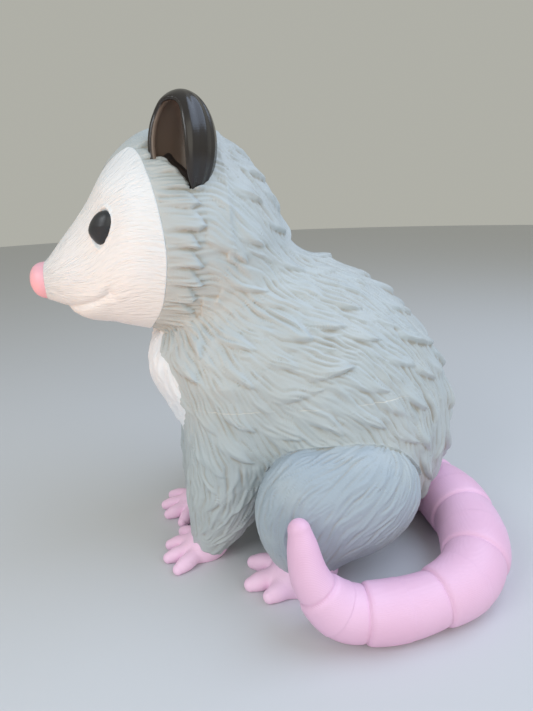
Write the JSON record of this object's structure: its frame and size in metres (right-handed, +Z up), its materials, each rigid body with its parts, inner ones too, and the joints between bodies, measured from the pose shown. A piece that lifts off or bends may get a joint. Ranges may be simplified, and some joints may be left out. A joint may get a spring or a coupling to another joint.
{
  "type": "sitting opossum statue",
  "caption": "Life-size printed plastic statue of a sitting opossum, grey carved fur, white face and bib, pink nose, feet and curled tail, black ears.",
  "frame": {"origin": "middle of the outline's footprint, on the floor", "axes": "+Z up, the statue faces -Y and its left side, to which the tail curls, is +X"},
  "size_m": [0.324, 0.3892, 0.396],
  "materials": {
    "grey": "matte silk print, light grey",
    "white": "matte print, white",
    "pink": "satin print, pink",
    "lilac": "matte print, lilac pink",
    "black": "glossy print, black"
  },
  "bodies": {
    "root": {"nose": "pink", "face": "white", "chest": "white", "head": "grey", "neck": "grey", "torso_upper": "grey", "torso_lower": "grey", "eye_left": "black", "ear_left": "black", "foreleg_left": "grey", "forefoot_left": "lilac", "haunch_left": "grey", "hindfoot_left": "lilac", "eye_right": "black", "ear_right": "black", "foreleg_right": "grey", "forefoot_right": "lilac", "haunch_right": "grey", "hindfoot_right": "lilac", "tail_1": "lilac", "tail_2": "lilac", "tail_3": "lilac", "tail_4": "lilac", "tail_5": "lilac", "tail_6": "lilac", "tail_7": "lilac"}
  },
  "joints": []
}
